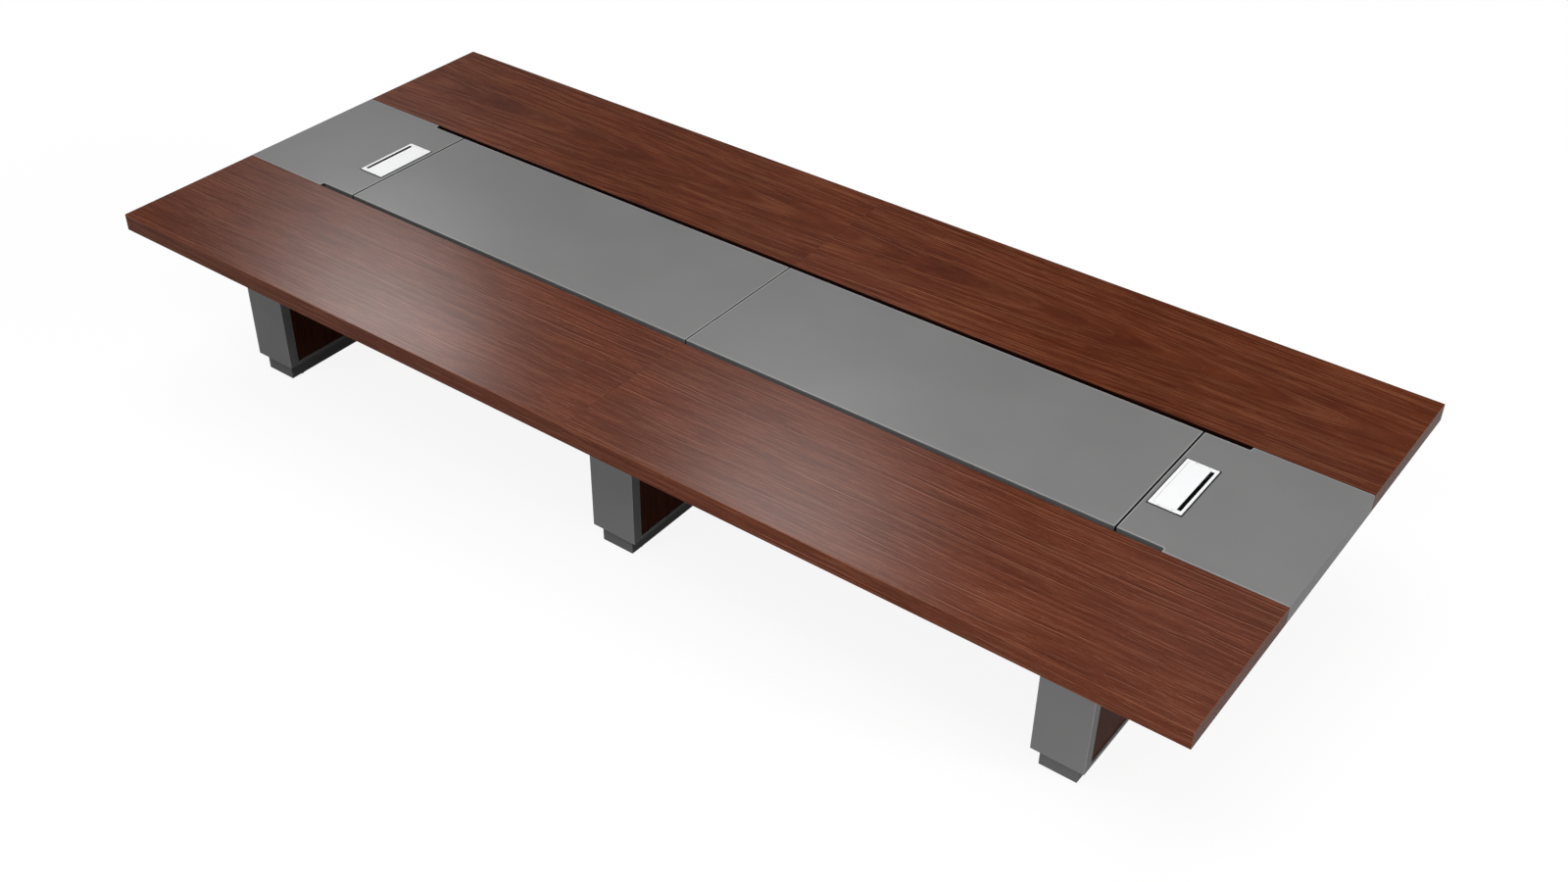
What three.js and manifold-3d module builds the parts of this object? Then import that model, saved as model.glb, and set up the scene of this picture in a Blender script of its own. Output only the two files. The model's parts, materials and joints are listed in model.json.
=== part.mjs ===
// A conference table for a boardroom. Two long wood tops lie side by side with a grey band between them.
// The band has a cable slot along each side, two lift-off covers in the middle, and at each end a panel with
// a wire box let into it. Three hollow box pedestals carry it all. Millimetres, +Z up. The origin is on the
// floor under the middle of the table. +X runs along its length and +Y across it, away from the near side.

import * as THREE from 'three';
import { mergeGeometries, mergeVertices } from 'three/addons/utils/BufferGeometryUtils.js';
import Module from 'manifold-3d';

const wasm = await Module();
wasm.setup();

// Overall sizes
const TABLE_LENGTH = 5000;
const TABLE_WIDTH = 2100;
const TABLE_HEIGHT = 750; // floor to the wood tops' upper face
const TOP_THICKNESS = 75;
const FIT = 0.3; // gap left round a piece that is let into another

// The grey band between the wood tops
const BAND_WIDTH = 724;
const SLOT_WIDTH = 22;
const SLOT_END_INSET = 455; // from the table's end to the closed end of a slot
const SLOT_CORNER_RADIUS = 8; // inner corner of the end panel, where a slot ends
const COVER_THICKNESS = 25;
const SEAM_GAP = 6; // between a cover and its end panel
const MIDDLE_GAP = 4; // between the two covers

// Bearers that tie the wood tops together under the covers, and the folded sheet troughs for the cables
const BEARER_WIDTH = 30;
const TROUGH_DEPTH = 75;
const TROUGH_SHEET = 1.5;
const TROUGH_SIDE_INSET = 10; // a trough's side stands this far in under a wood top, clear of the slot
const TROUGH_FLANGE = 40; // flange screwed up under a wood top

// Pedestals
const PEDESTAL_END_INSET = 520; // from the table's end to the middle of the outer pedestal
const PEDESTAL_OVERHANG = 245; // from the table's long edge to the pedestal's end board
const PEDESTAL_WIDTH = 210;
const END_BOARD_THICKNESS = 45;
const SIDE_PANEL_THICKNESS = 18;
const SIDE_RECESS = 6; // side panel set back from the frame round it
const BASE_BOARD_THICKNESS = 15;
const HEAD_BOARD_THICKNESS = 18;
const CABLE_NOTCH_WIDTH = 240; // way from a trough into a pedestal
const PLINTH_HEIGHT = 80; // floor to the base board, with the glides
const PLINTH_SIDE_INSET = 30;
const PLINTH_END_INSET = 20;
const PLINTH_WALL = 25;
const GLIDE_HEIGHT = 5;
const GLIDE_RADIUS = 11;
const GLIDE_TAPER = 1.5; // how much smaller a glide is at the floor
const GLIDE_END_INSET = 60; // from the plinth's end to a glide

// Wire boxes
const BOX_END_INSET = 550; // from the table's end to the middle of a box
const BOX_WIDTH = 126; // along the table
const BOX_LENGTH = 306; // across the table
const BOX_SEAM_MARGIN = 21; // end panel left between the box and the seam
const FLANGE_THICKNESS = 3;
const LONG_RIM = 13; // rim along the hinge side
const BRUSH_RIM = 10.5; // rim along the brush side
const SHORT_RIM = 12;
const SLEEVE_DEPTH = 45;
const SLEEVE_WALL = 2;
const LID_LEDGE = 3; // how far the sleeve's ends reach in under the lid
const LID_CLEARANCE = 0.8;
const LID_LEDGE_GAP = 0.4;
const PIN_RADIUS = 0.9;
const PIN_LENGTH = 10;
const BRUSH_SLOT_WIDTH = 15.5;
const BRUSH_END_MARGIN = 7; // rim left beyond each end of the brush
const BRUSH_BAR_WIDTH = 4.5;
const BRUSH_BAR_HEIGHT = 8;
const BRISTLE_THICKNESS = 1.1;
const BRISTLE_PITCH = 3;
const BRISTLE_ROW_HEIGHTS = [-2.5, -5.2]; // from the top of the bar, staggered by half a pitch
const BRISTLE_ROOT = 1; // length held inside the bar
const BRISTLE_TIP_GAP = 0.6; // from the tips to the lid's edge
const ROUND_SIDES = 20;
const CORNER_STEPS = 6;

// Places worked out from the sizes above
const TOP_UNDERSIDE = TABLE_HEIGHT - TOP_THICKNESS;
const COVER_UNDERSIDE = TABLE_HEIGHT - COVER_THICKNESS;
const BAND_HALF = BAND_WIDTH / 2;
const TONGUE_HALF = BAND_HALF - SLOT_WIDTH; // half the width of the covers and the end panels' tongues
const PEDESTAL_X = TABLE_LENGTH / 2 - PEDESTAL_END_INSET;
const PEDESTAL_HALF_DEPTH = TABLE_WIDTH / 2 - PEDESTAL_OVERHANG;
const BOX_X = TABLE_LENGTH / 2 - BOX_END_INSET;
const END_PANEL_INNER = BOX_X - BOX_WIDTH / 2 - BOX_SEAM_MARGIN;
const COVER_OUTER = END_PANEL_INNER - SEAM_GAP;
const TROUGH_FLOOR = TOP_UNDERSIDE - TROUGH_DEPTH;

// The wire box, measured from its own middle: the hinge is on the low X side, the brush on the high X side
const LID_BACK = -BOX_WIDTH / 2 + LONG_RIM;
const BRUSH_BACK = BOX_WIDTH / 2 - BRUSH_RIM;
const LID_FRONT = BRUSH_BACK - BRUSH_SLOT_WIDTH;
const LID_HALF_LENGTH = BOX_LENGTH / 2 - SHORT_RIM;
const BRUSH_HALF_LENGTH = LID_HALF_LENGTH - BRUSH_END_MARGIN;
const HINGE_X = LID_BACK + LID_CLEARANCE + FLANGE_THICKNESS / 2;
const SLEEVE_LOW_X = LID_BACK - SLEEVE_WALL;
const SLEEVE_HIGH_X = BRUSH_BACK + BRUSH_BAR_WIDTH + FIT + SLEEVE_WALL;
const SLEEVE_HALF_LENGTH = LID_HALF_LENGTH + SLEEVE_WALL;

const woodTop = new THREE.MeshStandardMaterial({ color: 0x5c2f20, roughness: 0.38, metalness: 0 });
const darkWood = new THREE.MeshStandardMaterial({ color: 0x34140d, roughness: 0.45, metalness: 0 });
const greyLaminate = new THREE.MeshStandardMaterial({ color: 0x808080, roughness: 0.5, metalness: 0 });
const plinthGrey = new THREE.MeshStandardMaterial({ color: 0x5e5e5e, roughness: 0.55, metalness: 0 });
const bearerWood = new THREE.MeshStandardMaterial({ color: 0x402f21, roughness: 0.7, metalness: 0 });
const sheetSteel = new THREE.MeshStandardMaterial({ color: 0x303234, roughness: 0.5, metalness: 0.4 });
const paleAluminium = new THREE.MeshStandardMaterial({ color: 0xe6e8ea, roughness: 0.35, metalness: 0.6 });
const pinSteel = new THREE.MeshStandardMaterial({ color: 0xb4b6b8, roughness: 0.3, metalness: 1 });
const blackNylon = new THREE.MeshStandardMaterial({ color: 0x0c0c0c, roughness: 0.8, metalness: 0 });

function addPiece(group, name, geometry, material, x = 0, y = 0, z = 0) {
  const mesh = new THREE.Mesh(geometry, material);
  mesh.name = name;
  mesh.position.set(x, y, z);
  group.add(mesh);
}

// Corners of a rectangle, low corner first.
function rectangle(lowX, lowY, highX, highY) {
  return [[lowX, lowY], [highX, lowY], [highX, highY], [lowX, highY]];
}

// Points round an arc, from one angle to the other.
function arc(centreX, centreY, radius, from, to) {
  return Array.from({ length: CORNER_STEPS + 1 }, (_, step) => {
    const angle = from + (to - from) * step / CORNER_STEPS;
    return [centreX + radius * Math.cos(angle), centreY + radius * Math.sin(angle)];
  });
}

function shifted(corners, x) {
  return corners.map(([cornerX, y]) => [cornerX + x, y]);
}

function turnedHalfRound(corners) {
  return corners.map(([x, y]) => [-x, -y]);
}

function path(Kind, corners) {
  return new Kind(corners.map(([x, y]) => new THREE.Vector2(x, y)));
}

// A flat plate with its outline in X and Y, from Z 0 up.
function plate(corners, thickness, holes = []) {
  const shape = path(THREE.Shape, corners);
  shape.holes = holes.map((hole) => path(THREE.Path, hole));
  return new THREE.ExtrudeGeometry(shape, { depth: thickness, bevelEnabled: false });
}

// The same with its outline in Y and Z, running from X 0 towards +X.
function plateAlongX(corners, length) {
  const turn = new THREE.Matrix4().makeBasis(
    new THREE.Vector3(0, 1, 0), new THREE.Vector3(0, 0, 1), new THREE.Vector3(1, 0, 0),
  );
  return plate(corners, length).applyMatrix4(turn);
}

// A block between two corners.
function block(low, high) {
  const size = high.map((value, axis) => value - low[axis]);
  const middle = high.map((value, axis) => (value + low[axis]) / 2);
  return new THREE.BoxGeometry(...size).translate(...middle);
}

// A round bar along Y, between two places on it.
function barAlongY(radius, x, lowY, highY, z) {
  const bar = new THREE.CylinderGeometry(radius, radius, highY - lowY, ROUND_SIDES);
  return bar.translate(x, (lowY + highY) / 2, z);
}

function toSolid(geometry) {
  const bare = geometry.clone();
  bare.deleteAttribute('normal');
  bare.deleteAttribute('uv');
  const merged = mergeVertices(bare);
  return new wasm.Manifold(new wasm.Mesh({
    numProp: 3,
    vertProperties: new Float32Array(merged.attributes.position.array),
    triVerts: new Uint32Array(merged.index.array),
  }));
}

function toGeometry(solid) {
  const mesh = solid.getMesh();
  const geometry = new THREE.BufferGeometry();
  geometry.setAttribute('position', new THREE.BufferAttribute(mesh.vertProperties, 3));
  geometry.setIndex(new THREE.BufferAttribute(mesh.triVerts, 1));
  geometry.computeVertexNormals();
  return geometry;
}

// Wood tops

function addWoodTops(table) {
  const width = (TABLE_WIDTH - BAND_WIDTH) / 2;
  for (const [name, side] of [['near', -1], ['far', 1]]) {
    const top = new THREE.BoxGeometry(TABLE_LENGTH, width, TOP_THICKNESS);
    addPiece(table, `wood_top_${name}`, top, woodTop, 0, side * (BAND_HALF + width / 2),
      TABLE_HEIGHT - TOP_THICKNESS / 2);
  }
}

// Covers, and the bearers and troughs below them

function addCovers(table) {
  const length = COVER_OUTER - MIDDLE_GAP / 2;
  for (const [name, side] of [['left', -1], ['right', 1]]) {
    const cover = new THREE.BoxGeometry(length, 2 * TONGUE_HALF, COVER_THICKNESS);
    addPiece(table, `cover_${name}`, cover, greyLaminate, side * (MIDDLE_GAP + length) / 2, 0,
      COVER_UNDERSIDE + COVER_THICKNESS / 2);
  }
}

function addBearers(table) {
  const height = COVER_UNDERSIDE - TOP_UNDERSIDE;
  const outer = COVER_OUTER - BEARER_WIDTH / 2;
  const places = {
    left_outer: -outer, left_inner: -outer / 2, middle: 0, right_inner: outer / 2, right_outer: outer,
  };
  for (const [name, x] of Object.entries(places)) {
    const bearer = new THREE.BoxGeometry(BEARER_WIDTH, BAND_WIDTH, height);
    addPiece(table, `bearer_${name}`, bearer, bearerWood, x, 0, TOP_UNDERSIDE + height / 2);
  }
}

function addTroughs(table) {
  const sheet = TROUGH_SHEET;
  const inside = BAND_HALF + TROUGH_SIDE_INSET;
  const outside = inside + sheet;
  const lip = outside + TROUGH_FLANGE;
  const length = PEDESTAL_X - PEDESTAL_WIDTH - 2 * FIT;
  const half = [[outside, 0], [outside, TROUGH_DEPTH - sheet], [lip, TROUGH_DEPTH - sheet],
    [lip, TROUGH_DEPTH], [inside, TROUGH_DEPTH], [inside, sheet]];
  const mirrored = half.map(([y, z]) => [-y, z]).reverse();
  for (const [name, side] of [['left', -1], ['right', 1]]) {
    const trough = plateAlongX([...half, ...mirrored], length).translate(-length / 2, 0, 0);
    addPiece(table, `trough_${name}`, trough, sheetSteel, side * PEDESTAL_X / 2, 0, TROUGH_FLOOR);
  }
}

// Pedestals

function sidePanel(hasNotch) {
  const halfLength = PEDESTAL_HALF_DEPTH - END_BOARD_THICKNESS;
  const bottom = PLINTH_HEIGHT + BASE_BOARD_THICKNESS;
  const top = TOP_UNDERSIDE - HEAD_BOARD_THICKNESS;
  const notchHalf = CABLE_NOTCH_WIDTH / 2;
  const notchBottom = TROUGH_FLOOR + TROUGH_SHEET;
  const notch = [[notchHalf, top], [notchHalf, notchBottom], [-notchHalf, notchBottom], [-notchHalf, top]];
  const corners = [[-halfLength, bottom], [halfLength, bottom], [halfLength, top],
    ...(hasNotch ? notch : []), [-halfLength, top]];
  return plateAlongX(corners, SIDE_PANEL_THICKNESS);
}

// Under a wire box the head board has the end panel's cut-out too, so cables drop into the pedestal.
function headBoard(cutOuts) {
  const halfLength = PEDESTAL_HALF_DEPTH - END_BOARD_THICKNESS;
  const outline = rectangle(-PEDESTAL_WIDTH / 2, -halfLength, PEDESTAL_WIDTH / 2, halfLength);
  return plate(outline, HEAD_BOARD_THICKNESS, cutOuts);
}

function plinth() {
  const halfWidth = PEDESTAL_WIDTH / 2 - PLINTH_SIDE_INSET;
  const halfDepth = PEDESTAL_HALF_DEPTH - PLINTH_END_INSET;
  const outside = rectangle(-halfWidth, -halfDepth, halfWidth, halfDepth);
  const inside = rectangle(-halfWidth + PLINTH_WALL, -halfDepth + PLINTH_WALL,
    halfWidth - PLINTH_WALL, halfDepth - PLINTH_WALL);
  return plate(outside, PLINTH_HEIGHT - GLIDE_HEIGHT, [inside]);
}

function addGlides(pedestal, name) {
  const x = PEDESTAL_WIDTH / 2 - PLINTH_SIDE_INSET - PLINTH_WALL / 2;
  const y = PEDESTAL_HALF_DEPTH - PLINTH_END_INSET - GLIDE_END_INSET;
  const corners = { near_left: [-x, -y], near_right: [x, -y], far_left: [-x, y], far_right: [x, y] };
  for (const [corner, [glideX, glideY]] of Object.entries(corners)) {
    const foot = GLIDE_RADIUS - GLIDE_TAPER;
    const glide = new THREE.CylinderGeometry(GLIDE_RADIUS, foot, GLIDE_HEIGHT, ROUND_SIDES);
    addPiece(pedestal, `${name}_glide_${corner}`, glide.rotateX(Math.PI / 2), blackNylon, glideX, glideY,
      GLIDE_HEIGHT / 2);
  }
}

function addPedestal(table, name, x, notchSides, headCutOuts) {
  const pedestal = new THREE.Group();
  pedestal.position.x = x;
  const height = TOP_UNDERSIDE - PLINTH_HEIGHT;
  const boardY = PEDESTAL_HALF_DEPTH - END_BOARD_THICKNESS / 2;
  const innerLength = 2 * (PEDESTAL_HALF_DEPTH - END_BOARD_THICKNESS);
  const panelX = PEDESTAL_WIDTH / 2 - SIDE_RECESS - SIDE_PANEL_THICKNESS / 2;

  for (const [end, side] of [['near', -1], ['far', 1]]) {
    const board = new THREE.BoxGeometry(PEDESTAL_WIDTH, END_BOARD_THICKNESS, height);
    addPiece(pedestal, `${name}_${end}_board`, board, greyLaminate, 0, side * boardY,
      PLINTH_HEIGHT + height / 2);
  }
  for (const [hand, side] of [['left', -1], ['right', 1]]) {
    const panel = sidePanel(notchSides.includes(hand));
    addPiece(pedestal, `${name}_${hand}_side`, panel, darkWood, side * panelX - SIDE_PANEL_THICKNESS / 2);
  }
  const base = new THREE.BoxGeometry(PEDESTAL_WIDTH, innerLength, BASE_BOARD_THICKNESS);
  const baseZ = PLINTH_HEIGHT + BASE_BOARD_THICKNESS / 2;
  const headZ = TOP_UNDERSIDE - HEAD_BOARD_THICKNESS;
  addPiece(pedestal, `${name}_base_board`, base, greyLaminate, 0, 0, baseZ);
  addPiece(pedestal, `${name}_head_board`, headBoard(headCutOuts), greyLaminate, 0, 0, headZ);
  addPiece(pedestal, `${name}_plinth`, plinth(), plinthGrey, 0, 0, GLIDE_HEIGHT);
  addGlides(pedestal, name);
  table.add(pedestal);
}

// End panels and wire boxes, made for the right end and turned half round for the left end

function sleeveCutOut() {
  const halfLength = SLEEVE_HALF_LENGTH + FIT;
  return rectangle(SLEEVE_LOW_X - FIT, -halfLength, SLEEVE_HIGH_X + FIT, halfLength);
}

// A T: full width at the table's end, then a tongue between the two slots with the cut-out for the wire box.
function endPanel() {
  const end = TABLE_LENGTH / 2;
  const shoulder = end - SLOT_END_INSET;
  const corner = arc(shoulder - SLOT_CORNER_RADIUS, -TONGUE_HALF - SLOT_CORNER_RADIUS, SLOT_CORNER_RADIUS,
    Math.PI / 2, 0);
  const nearHalf = [[END_PANEL_INNER, -TONGUE_HALF], ...corner, [shoulder, -BAND_HALF], [end, -BAND_HALF]];
  const farHalf = nearHalf.map(([x, y]) => [x, -y]).reverse();
  return plate([...nearHalf, ...farHalf], TOP_THICKNESS, [shifted(sleeveCutOut(), BOX_X)]);
}

// A flange with an opening for the lid and a narrower one for the brush, on a sleeve that lines the cut-out.
function boxFrame() {
  const opening = [[LID_BACK, -LID_HALF_LENGTH], [LID_FRONT, -LID_HALF_LENGTH],
    [LID_FRONT, -BRUSH_HALF_LENGTH], [BRUSH_BACK, -BRUSH_HALF_LENGTH],
    [BRUSH_BACK, BRUSH_HALF_LENGTH], [LID_FRONT, BRUSH_HALF_LENGTH],
    [LID_FRONT, LID_HALF_LENGTH], [LID_BACK, LID_HALF_LENGTH]];
  const outline = rectangle(-BOX_WIDTH / 2, -BOX_LENGTH / 2, BOX_WIDTH / 2, BOX_LENGTH / 2);
  const flange = plate(outline, FLANGE_THICKNESS, [opening]);

  const innerHalf = LID_HALF_LENGTH - LID_LEDGE;
  const sleeveOutside = rectangle(SLEEVE_LOW_X, -SLEEVE_HALF_LENGTH, SLEEVE_HIGH_X, SLEEVE_HALF_LENGTH);
  const sleeveInside = rectangle(LID_BACK, -innerHalf, SLEEVE_HIGH_X - SLEEVE_WALL, innerHalf);
  const sleeve = plate(sleeveOutside, SLEEVE_DEPTH, [sleeveInside]).translate(0, 0, -SLEEVE_DEPTH);

  const lidRoom = block([LID_BACK, -LID_HALF_LENGTH, -LID_LEDGE_GAP],
    [LID_FRONT, LID_HALF_LENGTH, FLANGE_THICKNESS]);
  const boreReach = (PIN_LENGTH + LID_CLEARANCE) / 2 + FIT;
  const boreRadius = PIN_RADIUS + FIT;
  let frame = toSolid(flange).add(toSolid(sleeve)).subtract(toSolid(lidRoom));
  for (const side of [-1, 1]) {
    const middle = side * (LID_HALF_LENGTH - LID_CLEARANCE / 2);
    const bore = barAlongY(boreRadius, HINGE_X, middle - boreReach, middle + boreReach, FLANGE_THICKNESS / 2);
    frame = frame.subtract(toSolid(bore));
  }
  return toGeometry(frame);
}

// A plate whose hinged edge is rounded about the pins, with a bore for a pin in each end.
function boxLid() {
  const radius = FLANGE_THICKNESS / 2;
  const profile = new THREE.Shape();
  profile.moveTo(LID_FRONT - LID_CLEARANCE, 0);
  profile.lineTo(LID_FRONT - LID_CLEARANCE, FLANGE_THICKNESS);
  profile.lineTo(HINGE_X, FLANGE_THICKNESS);
  profile.absarc(HINGE_X, radius, radius, Math.PI / 2, 3 * Math.PI / 2, false);
  const half = LID_HALF_LENGTH - LID_CLEARANCE;
  const slab = new THREE.ExtrudeGeometry(profile, { depth: 2 * half, bevelEnabled: false, curveSegments: 8 });
  let lid = toSolid(slab.rotateX(Math.PI / 2).translate(0, half, 0));
  const boreDepth = (PIN_LENGTH - LID_CLEARANCE) / 2 + FIT;
  for (const side of [-1, 1]) {
    const inner = side * (half - boreDepth);
    const outer = side * (half + 1);
    const bore = barAlongY(PIN_RADIUS + FIT, HINGE_X, Math.min(inner, outer), Math.max(inner, outer), radius);
    lid = lid.subtract(toSolid(bore));
  }
  return toGeometry(lid);
}

// A bar under the flange's brush-side rim, with two staggered rows of bristles reaching to the lid's edge.
function boxBrush() {
  const bar = block([BRUSH_BACK, -BRUSH_HALF_LENGTH, -BRUSH_BAR_HEIGHT],
    [BRUSH_BACK + BRUSH_BAR_WIDTH, BRUSH_HALF_LENGTH, 0]);
  const half = BRISTLE_THICKNESS / 2;
  const reach = BRUSH_HALF_LENGTH - BRISTLE_PITCH / 2;
  const count = Math.floor(2 * reach / BRISTLE_PITCH);
  const strands = [];
  BRISTLE_ROW_HEIGHTS.forEach((z, row) => {
    for (let index = 0; index < count; index += 1) {
      const y = -reach + (index + 0.25 + row / 2) * BRISTLE_PITCH;
      strands.push(block([LID_FRONT + BRISTLE_TIP_GAP, y - half, z - half],
        [BRUSH_BACK + BRISTLE_ROOT, y + half, z + half]));
    }
  });
  return toGeometry(toSolid(bar).add(toSolid(mergeGeometries(strands))));
}

function addWireBox(end, name) {
  const box = new THREE.Group();
  box.position.set(BOX_X, 0, TABLE_HEIGHT);
  addPiece(box, `${name}_frame`, boxFrame(), paleAluminium);
  addPiece(box, `${name}_lid`, boxLid(), paleAluminium);
  addPiece(box, `${name}_brush`, boxBrush(), blackNylon);
  for (const [hand, side] of [['a', -1], ['b', 1]]) {
    const middle = side * (LID_HALF_LENGTH - LID_CLEARANCE / 2);
    const half = PIN_LENGTH / 2;
    const pin = barAlongY(PIN_RADIUS, HINGE_X, middle - half, middle + half, FLANGE_THICKNESS / 2);
    addPiece(box, `${name}_pin_${hand}`, pin, pinSteel);
  }
  end.add(box);
}

function addEnd(table, hand, turn) {
  const end = new THREE.Group();
  end.rotation.z = turn;
  addPiece(end, `end_panel_${hand}`, endPanel(), greyLaminate, 0, 0, TOP_UNDERSIDE);
  addWireBox(end, `wire_box_${hand}`);
  table.add(end);
}

const table = new THREE.Group();
addWoodTops(table);
addCovers(table);
addBearers(table);
addTroughs(table);
const cutOutUnderBox = shifted(sleeveCutOut(), BOX_X - PEDESTAL_X);
addPedestal(table, 'left_pedestal', -PEDESTAL_X, ['right'], [turnedHalfRound(cutOutUnderBox)]);
addPedestal(table, 'middle_pedestal', 0, ['left', 'right'], []);
addPedestal(table, 'right_pedestal', PEDESTAL_X, ['left'], [cutOutUnderBox]);
addEnd(table, 'right', 0);
addEnd(table, 'left', Math.PI);

export default table;
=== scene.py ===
# %% [markdown]
# # A long conference table, finished in Blender
# The real table is five metres long. Two wide boards of red-brown veneer lie on either side of a grey
# band, a slot for cables runs along each side of the band, and a white cable box is let into each end.
# Three box legs carry it. The CAD model already holds every size, so this lesson never moves a part.
# It takes each CAD part as it stands, softens its edges, gives it a finish, and adds the small fixings.

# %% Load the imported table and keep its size
import json
import math

import bmesh
import bpy
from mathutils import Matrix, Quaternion, Vector


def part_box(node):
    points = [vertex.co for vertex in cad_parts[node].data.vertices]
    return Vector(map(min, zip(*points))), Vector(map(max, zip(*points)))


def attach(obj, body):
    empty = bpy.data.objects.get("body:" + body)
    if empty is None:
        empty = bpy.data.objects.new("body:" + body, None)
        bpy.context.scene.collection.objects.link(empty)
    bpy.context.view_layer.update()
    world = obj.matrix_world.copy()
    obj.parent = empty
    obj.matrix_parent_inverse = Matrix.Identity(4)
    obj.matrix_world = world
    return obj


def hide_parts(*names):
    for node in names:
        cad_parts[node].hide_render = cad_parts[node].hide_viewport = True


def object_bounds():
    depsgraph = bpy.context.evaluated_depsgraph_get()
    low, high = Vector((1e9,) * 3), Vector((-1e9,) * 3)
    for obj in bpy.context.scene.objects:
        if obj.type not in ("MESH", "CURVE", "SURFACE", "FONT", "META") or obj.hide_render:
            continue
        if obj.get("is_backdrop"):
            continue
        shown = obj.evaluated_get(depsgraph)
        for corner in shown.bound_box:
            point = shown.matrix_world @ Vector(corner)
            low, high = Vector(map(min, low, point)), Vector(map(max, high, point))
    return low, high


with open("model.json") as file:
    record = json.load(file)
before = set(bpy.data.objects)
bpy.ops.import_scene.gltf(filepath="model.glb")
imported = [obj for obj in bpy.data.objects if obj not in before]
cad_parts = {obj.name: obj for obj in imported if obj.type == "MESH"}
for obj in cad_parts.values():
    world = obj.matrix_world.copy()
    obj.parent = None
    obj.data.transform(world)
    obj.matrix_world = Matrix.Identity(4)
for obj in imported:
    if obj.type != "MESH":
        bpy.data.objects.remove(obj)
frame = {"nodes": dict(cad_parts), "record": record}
cad_low, cad_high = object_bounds()
record = frame["record"]
body_of = {node: body for body, nodes in record["behaviour"]["bodies"].items() for node in nodes}
slot_of = {row["node"]: row["material_slot"] for row in record["subparts"]}
print("loaded", len(body_of), "CAD parts, box", [round(v, 3) for v in cad_high - cad_low])

# %% [markdown]
# ## The camera
# The picture was taken from above the right-hand end, looking down along the table. The table's own
# straight edges, seams and corners fix where the camera stood and how long its lens was. The view is turned
# by about one degree about its own axis, so the level camera is built first and then rolled.

# %% Set the camera where the photograph was taken
LENS_MM = 40.703
CAMERA_AT = Vector((3.6611, -4.7537, 4.5400))
CAMERA_AIM = Vector((0.4153, -0.2537, 0.4000))
CAMERA_ROLL = math.radians(1.077)


def put_in_scene(name, data):
    """Makes an object of some data and links it to the scene."""
    thing = bpy.data.objects.new(name, data)
    bpy.context.scene.collection.objects.link(thing)
    return thing


camera = put_in_scene("photo_camera", bpy.data.cameras.new("photo_camera"))
camera.data.lens = LENS_MM
camera.location = CAMERA_AT
level = (CAMERA_AIM - CAMERA_AT).to_track_quat("-Z", "Y")
camera.rotation_euler = (level @ Quaternion((0, 0, 1), CAMERA_ROLL)).to_euler()
bpy.context.scene.camera = camera
bpy.context.scene.view_settings.view_transform = "Standard"
print("camera stands", round((CAMERA_AT - CAMERA_AIM).length, 2), "m from what it looks at")

# %% [markdown]
# ## Short words for long node code
# A material in Blender is a small network of nodes. Written out in full, each node takes several lines,
# so a few helpers do the repeated part: add a node, do a sum, and mix or ease values. A value given to a
# helper is either a plain number or the output of an earlier node, which is then linked.


# %% Helpers that build node networks
def add_node(tree, kind, inputs=None, **settings):
    """Adds one node and fills its inputs with plain values or with links."""
    node = tree.nodes.new(kind)
    for name, value in settings.items():
        setattr(node, name, value)
    for key, value in (inputs or {}).items():
        if isinstance(value, bpy.types.NodeSocket):
            tree.links.new(value, node.inputs[key])
        else:
            node.inputs[key].default_value = value
    return node


def from_node(tree, kind, inputs=None, **settings):
    """Adds one node and hands on its first output."""
    return add_node(tree, kind, inputs, **settings).outputs[0]


def sums(tree, operation, *values):
    """One step of arithmetic."""
    return from_node(tree, "ShaderNodeMath", dict(enumerate(values)), operation=operation)


def between(tree, factor, low, high):
    """A number that goes from low to high as factor goes from 0 to 1."""
    return from_node(tree, "ShaderNodeMix", {0: factor, 2: low, 3: high})


def eased(tree, value, start, end, low=0.0, high=1.0):
    """Maps start..end onto low..high with soft ends."""
    inputs = {"Value": value, "From Min": start, "From Max": end, "To Min": low, "To Max": high}
    return from_node(tree, "ShaderNodeMapRange", inputs, interpolation_type="SMOOTHSTEP")


def tint(tree, factor, first, second, how="MIX"):
    """Mixes two colours."""
    inputs = {0: factor, 6: first, 7: second}
    return add_node(tree, "ShaderNodeMix", inputs, data_type="RGBA", blend_type=how).outputs[2]


print("node helpers ready")

# %% [markdown]
# ## A white studio
# The table stands in a white room under even light. What the camera sees behind it is plain white. What a
# polished surface reflects is white near the horizon, where the walls would be, and dim overhead, where a
# studio has a dark ceiling. Without that dark ceiling the brown tops would look milky. All other light
# from the room is an even, weak fill.

# %% Build the room's light
ROOM_FILL = 0.15
CEILING = 0.04
WALL_TOP, CEILING_START = 0.16, 0.42  # sines of the angles above the horizon

room = bpy.data.worlds.new("white_studio")
bpy.context.scene.world = room
room.use_nodes = True
sky = room.node_tree
sky.nodes.clear()
ray = add_node(sky, "ShaderNodeLightPath").outputs
direction = add_node(sky, "ShaderNodeTexCoord").outputs["Generated"]
height = add_node(sky, "ShaderNodeSeparateXYZ", {0: direction}).outputs["Z"]
walls = eased(sky, height, WALL_TOP, CEILING_START, 1.0, CEILING)
mirrored = sums(sky, "MAXIMUM", ray["Is Glossy Ray"], ray["Is Transmission Ray"])
unseen = between(sky, mirrored, ROOM_FILL, walls)
strength = between(sky, ray["Is Camera Ray"], unseen, 1.0)
glow = add_node(sky, "ShaderNodeBackground", {"Color": (1, 1, 1, 1), "Strength": strength})
add_node(sky, "ShaderNodeOutputWorld", {"Surface": glow.outputs[0]})
print("room fill", ROOM_FILL, "ceiling in reflections", CEILING)

# %% [markdown]
# ## The floor
# A big pale sheet. For the camera it is so pale that it melts into the white background, and only the
# table's own soft shadow shows on it. Light that bounces off it meets a greyer floor, or the undersides
# would glow. From below it is clear, so the table can be looked at from there too.

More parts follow.
